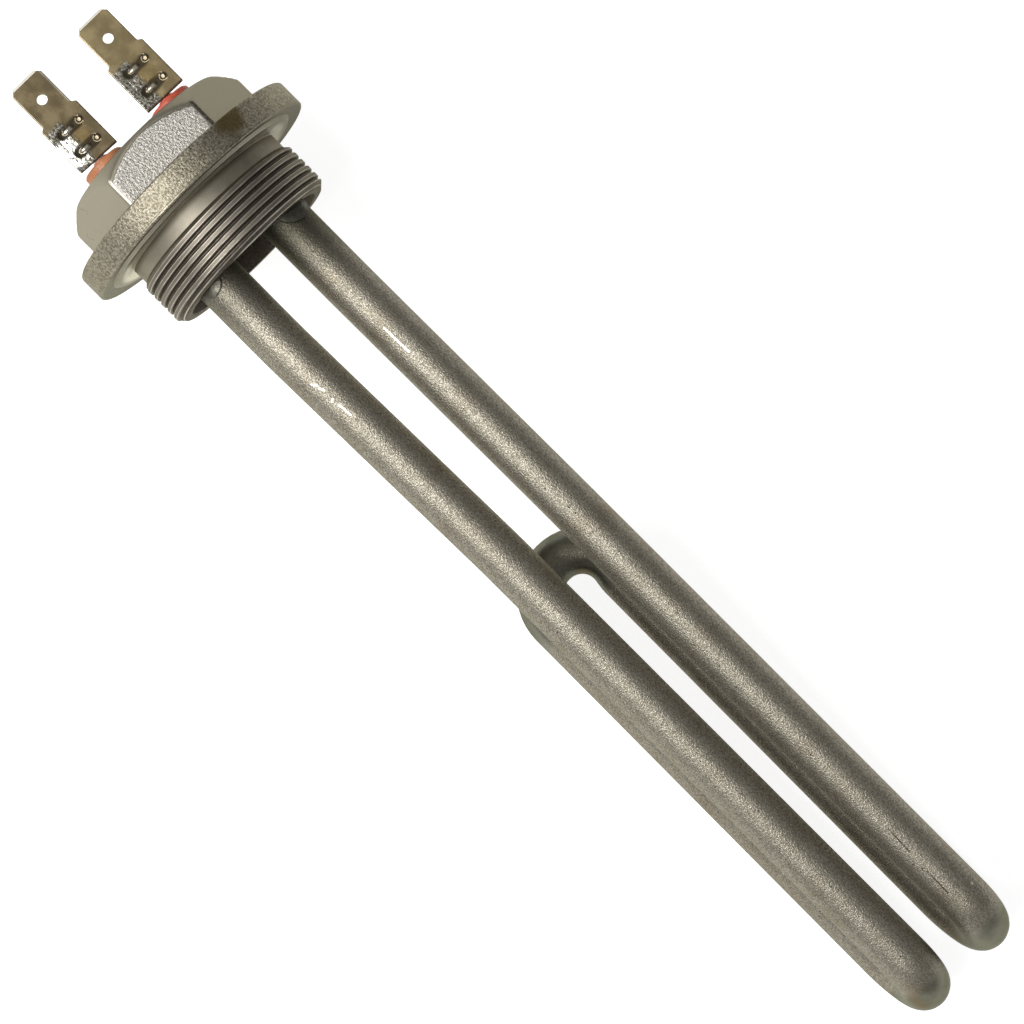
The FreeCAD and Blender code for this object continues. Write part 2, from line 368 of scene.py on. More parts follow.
# Each region has a light and a dark colour
plugLook = {
    "metallic": 0.9, "edge": (0.6, 0.6, 0.5),
    "cast": ((0.36, 0.328, 0.255), (0.15, 0.132, 0.095)), "side": ((0.285, 0.26, 0.20), (0.235, 0.212, 0.158)),
    "flat": ((0.47, 0.452, 0.42), (0.27, 0.25, 0.215)), "dish": ((0.20, 0.187, 0.145), (0.13, 0.12, 0.09)),
    "seat": ((0.30, 0.28, 0.225), (0.22, 0.20, 0.155)), "seatPaintedLight": ((0.85, 0.80, 0.67), (0.70, 0.65, 0.53)),
    "neck": ((0.37, 0.34, 0.275), (0.26, 0.237, 0.187)), "neckShadowed": ((0.13, 0.115, 0.085), (0.08, 0.07, 0.05)),
    "thread": ((0.23, 0.205, 0.17), (0.155, 0.135, 0.108)), "crestHighlight": ((0.80, 0.76, 0.68), (0.48, 0.45, 0.39)),
    "root": ((0.12, 0.10, 0.08), (0.075, 0.065, 0.05)), "cup": ((0.22, 0.19, 0.155), (0.14, 0.115, 0.09)),
    "peelSize": 0.42, "grainSize": 0.17, "patchSize": 5.0, "ringSize": 0.16, "speck": (0.35, 0.65),
    "skinHeight": 0.14, "grainHeight": 0.02, "ringHeight": 0.015,
    "rough": (0.40, 0.50), "seatGloss": 0.06, "neckRough": 0.14,
    "flatFacing": (0.95, 0.99), "frontFrom": (-0.2, -0.1), "rimEdge": 22.3, "seatEdge": 19.9, "seatRing": (18.9, 17.3),
    "neckShade": (0.75, 2.0), "crestLine": (0.33, 0.50), "rootRadius": 15.9, "cupFrom": (0.5, 0.9), "cupEnd": 12.2,
    "paintedLitSide": (0.45, 0.42, 0.34), "paintedLitShare": 0.35, "patchShare": 0.45,
    "shadeSideFrom": (2.0, 16.0), "shadeSideShare": 0.4,
    "edgeHighlight": (0.76, 0.72, 0.60), "highlightEdge": ((-11.2, -9.0, 15.8), (-4.4, -9.0, 15.8)), "highlightEdgeWidth": 0.3,
    "grimeAndShade": (0.09, 0.08, 0.06), "shadedEdge": ((-11.0, 9.1, 15.7), (-4.4, 9.1, 15.7)), "shadedEdgeWidth": 0.42,
    "nicks": (((-11.84, -15.02, 5.98), (-10.41, -14.41, 7.04)), ((-10.41, -14.41, 7.04), (-9.91, -14.74, 6.46)),
              ((-7.58, -15.62, 4.95), (-5.93, -14.82, 6.33)), ((-8.18, -17.31, 2.02), (-6.75, -16.69, 3.09)),
              ((-8.18, -17.31, 2.02), (-8.52, -16.7, 3.08))), "nickWidth": 0.16,
    "stain": (0.105, 0.075, 0.025), "stainAt": (-3.0, 11.4, 19.8), "stainReach": 3.6,
}


def plugMaterial():
    look, v = plugLook, plug
    material, tree, shader, place = newMaterial("forgedPlug", look["metallic"], 0.45, edge=look["edge"])
    x, y, z = axes(place)
    facing = axes(flow(tree, "ShaderNodeTexCoord", output="Normal"))
    radius = calc("SQRT", y * y + z * z)
    turnedPlace = joinAxes(tree, x, radius)
    peel = noise(place, look["peelSize"])
    grain = noise(place, look["grainSize"], 2.0)
    patches = noise(place, look["patchSize"])
    rings = noise(turnedPlace, look["ringSize"])
    speck = ramp(grain * look["speck"][0] + peel * look["speck"][1], 0.40, 0.60)
    turned = ramp(rings, 0.3, 0.7)
    inHead = ramp(x, v["flangeBack"] - 0.05, v["flangeBack"] + 0.05, 1.0, 0.0)
    # The hex flat facing up is painted lighter: painted highlight over its blasted finish
    upFlatBlastAndSheen = inHead * (ramp(facing[2], *look["flatFacing"]) * ramp(facing[0], -0.2, -0.1))
    front = ramp(x, *look["frontFrom"])
    dish = front * ramp(radius, look["rimEdge"] + 0.15, look["rimEdge"])
    seat = front * ramp(radius, look["seatEdge"] + 0.05, look["seatEdge"] - 0.05)
    neck = ramp(x, v["seatX"], v["seatX"] + 0.08)
    # Neck dark next to the flange, lighter further out: painted shadow of the flange
    lit = ramp(x, *look["neckShade"])
    thread = ramp(x, v["neckEnd"] - 0.1, v["neckEnd"] + 0.3)
    turns = (x - v["crestAt"]) / v["pitch"] - calc("ARCTAN2", z, y) / (2 * math.pi)
    fromCrest = calc("PINGPONG", turns, 0.5) * 2.0
    # Thin bright lines along the thread crests: painted highlight
    crestHighlight = thread * band(fromCrest, *look["crestLine"], 0.06) * ramp(patches, 0.35, 0.6, 0.35, 1.0)
    root = thread * ramp(radius, look["rootRadius"] + 0.35, look["rootRadius"])
    inside = ramp(radius, v["cupRadius"] + 0.1, v["cupRadius"] + 0.02) * ramp(x, look["cupEnd"], look["cupEnd"] - 0.2)
    cup = inside * ramp(x, *look["cupFrom"])
    colour = mixColour(speck, look["cast"][1], look["cast"][0])
    # The inner seat ring is painted lighter: painted light against the shade the neck casts
    for mask, name, fleck in ((inHead, "side", grain), (upFlatBlastAndSheen, "flat", speck), (dish, "dish", speck),
                              (seat, "seat", turned), (seat * ramp(radius, *look["seatRing"]), "seatPaintedLight", turned),
                              (neck, "neckShadowed", grain), (neck * lit, "neck", grain), (thread, "thread", turned),
                              (root, "root", speck), (crestHighlight, "crestHighlight", grain), (cup, "cup", speck)):
        light, dark = look[name]
        colour = mixColour(mask, colour, mixColour(fleck, dark, light))
    # Head faces turned towards -Y, where the lamp stands, are painted lighter: painted light
    paintedLitSide = inHead * ramp(facing[1], -0.1, -0.6, 0.0, look["paintedLitShare"])
    colour = mixColour(paintedLitSide, colour, look["paintedLitSide"])
    # Darker patches on the flange and front, stronger towards +Y away from the lamp: random tone with painted shade
    shade = ramp(patches, 0.45, 0.75, 0.0, look["patchShare"]) * (1.0 - inHead)
    shade = shade * ramp(y, -10, 20, 0.7, 1.4)
    # Front parts darker towards +Y, away from the lamp: painted shade
    paintedShadeSide = ramp(x, -0.2, 0.2) * ramp(y, *look["shadeSideFrom"], 0.0, look["shadeSideShare"])
    colour = mixColour(paintedShadeSide, colour, look["root"][0])
    colour = mixColour(shade, colour, look["cast"][1])
    # Bright line along the hex edge towards -Y, facing the lamp: painted highlight
    colour = mixColour(scratch(place, *look["highlightEdge"], look["highlightEdgeWidth"], 0.85), colour, look["edgeHighlight"])
    for start, end in look["nicks"]:
        shaken = vector("ADD", place, peel * 0.5)
        colour = mixColour(scratch(shaken, start, end, look["nickWidth"], 0.7), colour, look["grimeAndShade"])
    # Dark line along the hex edge towards +Y, away from the lamp: painted shade
    wearAndPaintedLight = scratch(place, *look["shadedEdge"], look["shadedEdgeWidth"], 0.9) * ramp(peel, 0.4, 0.52, 0.15, 1.0)
    colour = mixColour(wearAndPaintedLight, colour, look["grimeAndShade"])
    colour = mixColour(patch(place, look["stainAt"], look["stainReach"], patches, 0.85), colour, look["stain"])
    rough = ramp(grain, 0.3, 0.7, *look["rough"]) - seat * look["seatGloss"]
    rough = rough + neck * look["neckRough"]
    rawSkin = calc("MAXIMUM", (1.0 - front) * (1.0 - inHead), upFlatBlastAndSheen)
    first = bump(rawSkin * peel, look["skinHeight"])
    second = bump(grain, look["grainHeight"], first)
    finishShader(shader, colour, rough, bump(seat * rings, look["ringHeight"], second))
    return material


def plainMaterial(name, metallic, roughness, light, dark, grainSize, grainHeight, specular=0.5):
    material, tree, shader, place = newMaterial(name, metallic, roughness, specular)
    grain = noise(place, grainSize)
    patches = noise(place, grainSize * 9)
    colour = mixColour(ramp(grain * 0.5 + patches * 0.5, 0.38, 0.62), dark, light)
    rough = ramp(grain, 0.3, 0.7, roughness + 0.06, roughness - 0.06)
    finishShader(shader, colour, rough, bump(grain, grainHeight))
    return material


# Push-on tabs: sizes along from the foot and across from the middle
tab = {
    "foot": {"left": -15.25, "right": -14.95}, "centre": {"left": -7.05, "right": 7.45},
    "slant": {"left": 0.04, "right": 0.012}, "length": 17.5, "width": 7.7, "bladeWidth": 6.3, "bladeLength": 8.0,
    "shoulder": 0.7, "corner": 0.95, "footCorner": 0.1, "top": 7.15, "thickness": 0.8, "edge": 0.1,
    "tipBevel": 0.42, "tipDrop": 0.14, "holeRadius": 0.9, "holeAt": 4.35, "holeSegments": 48, "punchDepth": 4.0,
    "spots": (2.65, 6.75), "slotLength": 5.0, "slotHalf": 1.0, "slotDepth": 0.30,
    "ballAt": 1.98, "ballRadius": 0.55, "ballHeight": 0.28,
    "lensAt": -0.5, "lensLength": 1.25, "lensHalf": 0.48, "lensHeight": 0.29,
    "crinkle": 0.05, "crinkleSize": 0.5, "crinkleEnd": (8.0, 9.2), "step": 0.12, "sharpAngle": 45.0,
}


tabLook = {
    "rough": (0.22, 0.30), "left": ((0.31, 0.247, 0.142), (0.25, 0.195, 0.11)),
    "right": ((0.46, 0.37, 0.20), (0.39, 0.305, 0.162)), "grey": ((0.46, 0.44, 0.385), (0.13, 0.115, 0.085)),
    "mirror": (0.52, 0.51, 0.46), "mirrorSpan": (0.7, 6.6), "mirrorGloss": 0.08, "gold": (0.34, 0.235, 0.09),
    "goldAt": 0.6, "goldReach": 2.2, "burnt": (0.085, 0.066, 0.042), "burntFrom": -1.9, "burntWidth": (1.2, 1.8),
    "ball": (0.27, 0.21, 0.17), "ballWidth": 0.28, "lensGlint": (0.62, 0.58, 0.47), "lensGlintWidth": 0.46,
    "paintedGlint": (0.95, 0.92, 0.80), "tipRough": 0.25, "glintFrom": (9.8, 10.1), "glintEdge": (2.78, 2.85),
    "side": (0.10, 0.085, 0.055), "foot": (0.09, 0.045, 0.035), "footHeat": (0.55, 0.1), "edge": (0.5, 0.46, 0.38),
    "cloudSize": 3.2, "crumpleSize": 0.42, "fineSize": 0.22, "crinkleHeight": 0.03, "crinkleFade": (9.0, 8.0),
    "pull": 0.12, "pullSpan": (0.9, 6.4), "pullFrom": 0.9,
}


# Plated strip: heat tint, two burnt weld spots with bright beads and painted highlights on their lenses, crinkled
# plating on the side towards -Y, painted highlight on the tip bevel and along one edge of the left blade
def tabMaterial():
    look, v = tabLook, tab
    material, tree, shader, place = newMaterial("platedStrip", 0.9, 0.28, edge=look["edge"])
    x, y, z = axes(place)
    right = calc("GREATER_THAN", y, 0.0)
    left = 1.0 - right
    along = ramp(right, 0, 1, v["foot"]["left"], v["foot"]["right"], False) - x
    across = y - ramp(right, 0, 1, v["centre"]["left"], v["centre"]["right"], False)
    local = joinAxes(tree, along, across)
    clouds = noise(place, look["cloudSize"], 3.0, 0.55)
    crumple = noise(place, look["crumpleSize"], 2.0, 0.55, 0.8)
    fine = noise(place, look["fineSize"], 2.0)
    tone = ramp(clouds, 0.35, 0.65)
    plated = [mixColour(tone, look[side][1], look[side][0]) for side in sides]
    colour = mixColour(right, *plated)
    low = across + clouds * 1.6
    crinkled = ramp(low, 0.6, -0.2) * ramp(along, *look["crinkleFade"])
    colour = mixColour(crinkled, colour, mixColour(ramp(crumple, 0.42, 0.58), look["grey"][1], look["grey"][0]))
    blank = ramp(low, -0.4, -1.0) * band(along, *look["mirrorSpan"], 0.4)
    blank = blank * left * ramp(fine, 0.25, 0.42)
    colour = mixColour(blank, colour, look["mirror"])
    middle = (sum(v["spots"]) / 2, look["goldAt"], 0.0)
    colour = mixColour(patch(local, middle, look["goldReach"], clouds, 0.5), colour, look["gold"])
    for spot in v["spots"]:
        wide = look["burntWidth"][0] + (clouds - 0.5) * look["burntWidth"][1]
        burnt = scratch(local, (spot, look["burntFrom"], 0), (spot, v["ballAt"] - 0.1, 0), wide, 0.85)
        colour = mixColour(burnt, colour, look["burnt"])
        ballEnds = (spot - 0.1, v["ballAt"], 0), (spot + 0.1, v["ballAt"] + 0.05, 0)
        # Bright streak over each lens bump: painted highlight
        lensGlintEnds = (spot, v["lensAt"] - 0.5, 0), (spot, v["lensAt"] + 0.5, 0)
        ball = scratch(local, *ballEnds, look["ballWidth"], 0.9)
        lensGlint = scratch(local, *lensGlintEnds, look["lensGlintWidth"], 0.85)
        colour = mixColour(ball, colour, look["ball"])
        colour = mixColour(lensGlint, colour, look["lensGlint"])
    # Bright tip bevel and a bright line near one edge of the left blade: painted highlight
    tipStart = v["length"] - v["tipBevel"]
    tip = ramp(along, tipStart - 0.03, tipStart + 0.03)
    colour = mixColour(tip, colour, look["paintedGlint"])
    wearAndPaintedLight = left * ramp(along, *look["glintFrom"])
    colour = mixColour(wearAndPaintedLight * ramp(across, *look["glintEdge"], 0.0, 0.4), colour, look["paintedGlint"])
    colour = mixColour(ramp(along, *look["footHeat"], 0.0, 0.85), colour, look["foot"])
    facing = axes(flow(tree, "ShaderNodeTexCoord", output="Normal"))
    colour = mixColour(ramp(calc("ABSOLUTE", facing[1]), 0.12, 0.3), colour, look["side"])
    rough = ramp(clouds, 0.3, 0.7, *look["rough"]) - blank * look["mirrorGloss"]
    rough = rough + tip * look["tipRough"]
    height = fine * 0.12 + crinkled * crumple
    pulled = left * band(along, *look["pullSpan"], 0.8) * calc("MINIMUM", across + look["pullFrom"], 0.0)
    tilted = bump(pulled * look["pull"], 1.0)
    finishShader(shader, colour, rough, bump(height, look["crinkleHeight"], tilted))
    return material


looks = {
    "sheath": sheathMaterial(),
    "plug": plugMaterial(),
    "tab": tabMaterial(),
    "pin": plainMaterial("coldPin", 0.9, 0.35, (0.55, 0.53, 0.50), (0.42, 0.40, 0.37), 0.3, 0.02),
    "sealLeft": plainMaterial("sealOrange", 0.0, 0.5, (0.50, 0.20, 0.088), (0.34, 0.125, 0.053), 0.35, 0.03, 0.4),
    "sealRight": plainMaterial("sealRed", 0.0, 0.5, (0.66, 0.13, 0.075), (0.42, 0.07, 0.04), 0.35, 0.03, 0.4),
    "powder": plainMaterial("mineralPowder", 0.0, 0.9, (0.86, 0.84, 0.80), (0.78, 0.76, 0.72), 0.3, 0.05),
    "wire": plainMaterial("resistanceWire", 0.8, 0.45, (0.42, 0.40, 0.38), (0.30, 0.28, 0.26), 0.2, 0.02),
    "braze": plainMaterial("brazeAlloy", 0.8, 0.42, (0.12, 0.115, 0.09), (0.06, 0.055, 0.042), 0.8, 0.05),
}
print("materials made:", len(looks))


# Plug: a turned outline carried round the axis, with the hexagon, crown and thread worked out on the way

# Points (x, r) of the half outline, with how much each follows the hexagon
def plugOutline():
    v, spacing = plug, plug["spacing"]
    climb = (v["crownClear"] - v["crownFlat"]) * math.tan(math.radians(v["crownSlope"]))
    head = roundedLine([((v["headTop"], 0, 0), 0), ((v["headTop"], 0, v["crownFlat"]), v["crownEdge"]),
                        ((v["headTop"] + climb, 0, v["crownClear"]), 0)], 5)
    fillet = Vector((v["flangeBack"] - v["rootFillet"], 0, v["crownClear"]))
    head = denser(head, spacing["crown"])[:-1] + denser([head[-1], fillet], spacing["side"])
    stations = [(p.x, p.z, 1.0) for p in head]
    rimStart = v["flangeRadius"] - v["flangeEdge"]
    for step in range(1, 6):
        turn = math.radians(90 * step / 5)
        share = 1 - (1 - math.cos(turn)) * v["filletShare"]
        stations.append((v["flangeBack"] - v["rootFillet"] * (1 - math.sin(turn)), rimStart, share))
    for share in (0.75, 0.55, 0.35, 0.15):
        stations.append((v["flangeBack"], rimStart, share))
    rest = roundedLine([
        ((v["flangeBack"], 0, rimStart - 0.05), 0),
        ((v["flangeBack"], 0, v["flangeRadius"]), v["flangeEdge"]),
        ((v["flangeFront"], 0, v["flangeRadius"]), v["flangeEdge"]),
        ((v["seatFootX"], 0, v["seatFootRadius"]), v["seatFootRound"]),
        ((v["seatX"], 0, v["seatRadius"]), v["seatRound"]),
        ((v["seatX"], 0, v["neckRadius"]), v["neckRound"]),
        ((v["neckEnd"], 0, v["neckRadius"]), 0),
        ((v["threadStart"], 0, v["threadRadius"]), 0),
        ((v["threadEnd"] - v["endChamfer"], 0, v["threadRadius"]), v["chamferRound"]),
        ((v["threadEnd"], 0, v["threadRadius"] - v["endDrop"]), v["endRound"]),
        ((v["threadEnd"], 0, v["cupRadius"]), v["cupRound"]),
        ((v["cupFloor"], 0, v["cupRadius"]), v["cupFillet"]),
        ((v["cupFloor"], 0, 0), 0),
    ], 4)
    cupTop = v["cupRadius"] + 0.1
    outer = [p for p in rest if p.x < v["neckEnd"] - 0.01 and p.z > cupTop]
    thread = [p for p in rest if p.x > v["neckEnd"] - 0.01 and p.z > cupTop]
    inner = [p for p in rest if p.z <= cupTop]
    line = denser(outer, spacing["flange"]) + denser([outer[-1]] + thread, spacing["thread"])[1:]
    line += denser([thread[-1]] + inner, spacing["cup"])[1:]
    return stations + [(p.x, p.z, 0.0) for p in line]


def plugTree():
    v = plug
    tree, entry = geometryTree("turnedPlug", {
        "Stations": 1, "Angles": 1, "Across Flats": 1.0, "Hex Corner": 1.0, "Soft Corner": 1.0, "Pitch": 1.0,
        "Thread Radius": 1.0, "Thread Depth": 1.0, "Thread Start": 1.0, "Crest At": 1.0, "Relief": 1.0,
        "Relief Size": 1.0, "Relief End": 1.0, "Seed": 1})
    lastStation = entry["Stations"] - 1.0
    grid = flow(tree, "GeometryNodeMeshGrid", {
        "Size X": lastStation, "Size Y": entry["Angles"], "Vertices X": entry["Stations"],
        "Vertices Y": entry["Angles"] + 1.0})
    spot = axes(flow(tree, "GeometryNodeInputPosition"))
    row = calc("ROUND", spot[0] + lastStation / 2.0)
    angle = spot[1] / entry["Angles"] * (2 * math.pi)
    sample = addNode(tree, "GeometryNodeSampleIndex", {"Geometry": entry["Geometry"]}, data_type="FLOAT_VECTOR")
    feed(sample.inputs["Value"], flow(tree, "GeometryNodeInputPosition"))
    feed(sample.inputs["Index"], row)
    x, share, outline = axes(Flow(tree, sample.outputs[0]))
    share = share / mm
    # hexagon with rounded corners, as a distance from the axis at this angle
    sixth = math.pi / 3
    offFlat = calc("FLOORED_MODULO", angle, sixth) - sixth / 2
    flat = entry["Across Flats"] / 2.0 / calc("COSINE", offFlat)
    offCorner = sixth / 2 - calc("ABSOLUTE", offFlat)
    reach = (entry["Across Flats"] / 2.0 - entry["Hex Corner"]) / math.cos(sixth / 2)
    across = reach * calc("SINE", offCorner)
    inside = entry["Hex Corner"] * entry["Hex Corner"] - across * across
    corner = reach * calc("COSINE", offCorner) + calc("SQRT", calc("MAXIMUM", inside, 0.0))
    arcEnd = entry["Hex Corner"] * math.sin(sixth / 2) / (reach + entry["Hex Corner"] * math.cos(sixth / 2))
    onCorner = calc("LESS_THAN", offCorner, arcEnd)
    hexagon = corner * onCorner + flat * (1.0 - onCorner)
    limited = calc("SMOOTH_MIN", hexagon, outline, entry["Soft Corner"])
    blended = hexagon * share + outline * (1.0 - share)
    inHead = calc("GREATER_THAN", share, 0.999)
    radius = limited * inHead + blended * (1.0 - inHead)
    # right-hand thread: a groove whose place moves along the axis by one pitch a turn
    turns = (x - entry["Crest At"]) / entry["Pitch"] - angle / (2 * math.pi)
    groove = ramp(calc("PINGPONG", turns, 0.5) * 2.0, *v["groove"])
    leadFrom, leadTo = v["threadLead"]
    started = ramp(x, entry["Thread Start"] - leadFrom * mm, entry["Thread Start"] + leadTo * mm)
    cut = groove * started * entry["Thread Depth"]
    threaded = calc("MINIMUM", radius, entry["Thread Radius"] - cut)
    pastStart = calc("GREATER_THAN", x, entry["Thread Start"] - leadTo * mm)
    onThread = pastStart * calc("GREATER_THAN", radius, entry["Thread Radius"] - v["threadReach"] * mm)
    radius = threaded * onThread + radius * (1.0 - onThread)
    # uneven forged skin, always a little under the true size
    around = joinAxes(tree, x, radius * calc("COSINE", angle), radius * calc("SINE", angle))
    waves = flow(tree, "ShaderNodeTexNoise", {"Vector": around, "W": entry["Seed"], "Detail": 2.0,
                                              "Scale": 1.0 / entry["Relief Size"]}, noise_dimensions="4D")
    raw = calc("LESS_THAN", x, entry["Relief End"]) * calc("GREATER_THAN", radius, v["skinRadius"] * mm)
    sunk = waves * entry["Relief"] * raw
    shrink = 1.0 - sunk / calc("MAXIMUM", radius, 1e-4)
    place = vector("MULTIPLY", around, joinAxes(tree, 1.0, shrink, shrink))
    shaped = flow(tree, "GeometryNodeSetPosition", {"Geometry": grid, "Position": place})
    joined = flow(tree, "GeometryNodeMergeByDistance", {"Geometry": shaped, "Distance": 0.002 * mm})
    endTree(tree, entry, joined)
    return tree


def addCutter(name, work):
    mesh = bpy.data.meshes.new(name)
    work.to_mesh(mesh)
    work.free()
    cutter = bpy.data.objects.new(name, mesh)
    scene.collection.objects.link(cutter)
    return cutter


# Faces between rings of equally many points, and over both ends
def closeRings(work, rings):
    for low, high in zip(rings, rings[1:]):
        for i in range(len(low)):
            after = (i + 1) % len(low)
            work.faces.new((low[i], low[after], high[after], high[i]))
    work.faces.new(rings[0])
    work.faces.new(rings[-1])


# One hole cutter: a turned pin with a countersink at the head's outer face
def holeCutter(y):
    v = plug
    turns, clear = v["holeSegments"], 1.0
    wide = v["holeRadius"] + v["holeChamfer"]
    outline = [(v["headTop"] - clear, wide + clear), (v["headTop"], wide),
               (v["headTop"] + v["holeChamfer"], v["holeRadius"]), (v["cupFloor"] + clear, v["holeRadius"])]
    angles = [2 * math.pi * i / turns for i in range(turns)]
    work = bmesh.new()
    rings = []
    for x, r in outline:
        places = [Vector((x, y + r * math.cos(a), v["legHeight"] + r * math.sin(a))) for a in angles]
        rings.append([work.verts.new(place * mm) for place in places])
    closeRings(work, rings)
    bmesh.ops.recalc_face_normals(work, faces=work.faces)
    return addCutter("holeCutter", work)


def drill(piece, cutter):
    hole = piece.modifiers.new("hole", "BOOLEAN")
    hole.operation = "DIFFERENCE"
    hole.solver = "EXACT"
    hole.object = cutter
    bpy.context.view_layer.update()
    applyModifiers(piece)
    bpy.data.objects.remove(cutter)
    tidyMesh(piece)


def makePlug():
    v = plug
    stations = plugOutline()
    start = bpy.data.meshes.new("plugOutline")
    start.from_pydata([(x * mm, share * mm, r * mm) for x, r, share in stations], [], [])
    piece = growMesh("plugBody", start, plugTree(), {
        "Stations": len(stations), "Angles": v["angles"], "Across Flats": v["acrossFlats"] * mm,
        "Hex Corner": v["hexCorner"] * mm, "Soft Corner": v["softCorner"] * mm, "Pitch": v["pitch"] * mm,
        "Thread Radius": v["threadRadius"] * mm, "Thread Depth": v["threadDepth"] * mm,
        "Thread Start": v["threadStart"] * mm, "Crest At": v["crestAt"] * mm, "Relief": v["relief"] * mm,
        "Relief Size": v["reliefSize"] * mm, "Relief End": (v["flangeFront"] - v["reliefBack"]) * mm,
        "Seed": v["seed"],
    }, looks["plug"])
    tidyMesh(piece)
    for sign in sides.values():
        drill(piece, holeCutter(sign * v["legPitch"] / 2))
    piece.data.set_sharp_from_angle(angle=math.radians(v["sharpAngle"]))
    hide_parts("plug_body")
    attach(piece, "root")
    print("plug:", len(stations), "stations,", len(piece.data.polygons), "faces")


makePlug()


# Heating tube: one path with two hairpins and a middle bend, swept with a wall

tube = {
    "radius": 4.25, "wall": 0.75, "halfPitch": 6.9, "bend": 6.85, "knees": (26.0, 76.0), "kneeRadius": 180.0,
    "middleLean": 0.83, "tipLean": 1.27, "returnLean": -0.33, "leftEnd": -12.75, "rightEnd": -12.45,
    "middleGap": 66.5, "spacing": 0.9, "segments": 56, "waver": 0.03, "waverSize": 5.0,
    "flatten": 0.6, "flattenReach": 3.0, "flattenBelow": -2.0, "arcSteps": 12, "seed": 5,
}


def tubePath():
    v = tube
    low, high = readBox("heater_sheath")
    tip = high.x - v["radius"]
    returnHeight = low.z + v["radius"]
    turn = plug["threadEnd"] + v["middleGap"] + v["radius"]
    halves = {}
    for side, sign in sides.items():
        middle = v["middleLean"] + sign * v["halfPitch"]
        far = v["tipLean"] + sign * v["halfPitch"]
        back = v["returnLean"] + sign * v["halfPitch"]
        near = sign * plug["legPitch"] / 2
        z = plug["legHeight"]
        halves[side] = [((v[side + "End"], near, z), 0), ((v["knees"][0], near, z), v["kneeRadius"]),
                        ((v["knees"][1], middle, z), v["kneeRadius"]), ((tip, far, z), v["bend"]),
                        ((tip, back, returnHeight), v["bend"]), ((turn, back, returnHeight), v["bend"])]
    points = denser(roundedLine(halves["left"] + halves["right"][::-1], v["arcSteps"]), v["spacing"])
    path = points[:1]
    for point in points[1:]:
        if (point - path[-1]).length > v["spacing"] / 3:   # rings too near each other would cross inside a bend
            path.append(point)
    return path


def tubeTree():
    tree, entry = geometryTree("sweptTube", {
        "Radius": 1.0, "Segments": 1, "Waver": 1.0, "Waver Size": 1.0,
        "Bend X": 1.0, "Bend Y": 1.0, "Bend Top": 1.0, "Flatten": 1.0, "Seed": 1})
    path = flow(tree, "GeometryNodeMeshToCurve", {0: entry["Geometry"]})
    ring = flow(tree, "GeometryNodeCurvePrimitiveCircle", {
        "Resolution": entry["Segments"], "Radius": entry["Radius"]})
    swept = flow(tree, "GeometryNodeCurveToMesh", {"Curve": path, "Profile Curve": ring})
    # slight unevenness of a drawn and rolled tube, always inward
    waves = flow(tree, "ShaderNodeTexNoise", {"Scale": 1.0 / entry["Waver Size"], "W": entry["Seed"],
                                              "Detail": 1.0}, noise_dimensions="4D")
    normal = flow(tree, "GeometryNodeInputNormal")
    depth = (waves - 1.0) * entry["Waver"]
    inward = scaled(tree, normal, depth)
    uneven = flow(tree, "GeometryNodeSetPosition", {"Geometry": swept, "Offset": inward})
    # the inside of the middle bend is drawn flatter by the bending
    spot = flow(tree, "GeometryNodeInputPosition")
    at = axes(spot)
    centre = joinAxes(tree, entry["Bend X"], entry["Bend Y"], at[2])
    toCentre = vector("NORMALIZE", vector("SUBTRACT", centre, spot))
    inside = calc("MAXIMUM", vector("DOT_PRODUCT", normal, toCentre), 0.0)
    reach = tube["flattenReach"] * mm
    bent = ramp(at[0], entry["Bend X"] + reach, entry["Bend X"] - reach)
    bent = bent * calc("LESS_THAN", at[2], entry["Bend Top"])
    push = calc("POWER", inside, 1.5) * bent * (entry["Flatten"] * -1.0)
    outward = scaled(tree, toCentre, push)
    flatter = flow(tree, "GeometryNodeSetPosition", {"Geometry": uneven, "Offset": outward})
    endTree(tree, entry, flatter)
    return tree


def makeTube():
    v = tube
    bendX = plug["threadEnd"] + v["middleGap"] + v["radius"] + v["bend"]
    piece = growMesh("heaterSheath", lineMesh("tubePath", tubePath()), tubeTree(), {
        "Radius": v["radius"] * mm, "Segments": v["segments"], "Waver": v["waver"] * mm,
        "Waver Size": v["waverSize"] * mm, "Bend X": bendX * mm, "Bend Y": v["returnLean"] * mm,
        "Bend Top": v["flattenBelow"] * mm, "Flatten": v["flatten"] * mm, "Seed": v["seed"]}, looks["sheath"])
    tidyMesh(piece, 1e-7)
    wall = piece.modifiers.new("wall", "SOLIDIFY")
    wall.thickness = v["wall"] * mm
    wall.offset = -1
    applyModifiers(piece)
    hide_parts("heater_sheath")
    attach(piece, "root")
    print("tube:", len(piece.data.polygons), "faces")


makeTube()


def smooth(value, low, high):
    share = min(1.0, max(0.0, (value - low) / (high - low)))
    return share * share * (3 - 2 * share)


def tabHalfWidth(along):
    v = tab
    bladeStart = v["length"] - v["bladeLength"]
    blend = smooth(along, bladeStart - v["shoulder"] / 2, bladeStart + v["shoulder"] / 2)
    half = v["width"] / 2 + (v["bladeWidth"] - v["width"]) / 2 * blend
    if along > v["length"] - v["corner"]:
        half = min(half, v["bladeWidth"] / 2 + v["length"] - v["corner"] - along)
    return min(half, v["width"] / 2 - v["footCorner"] + along)


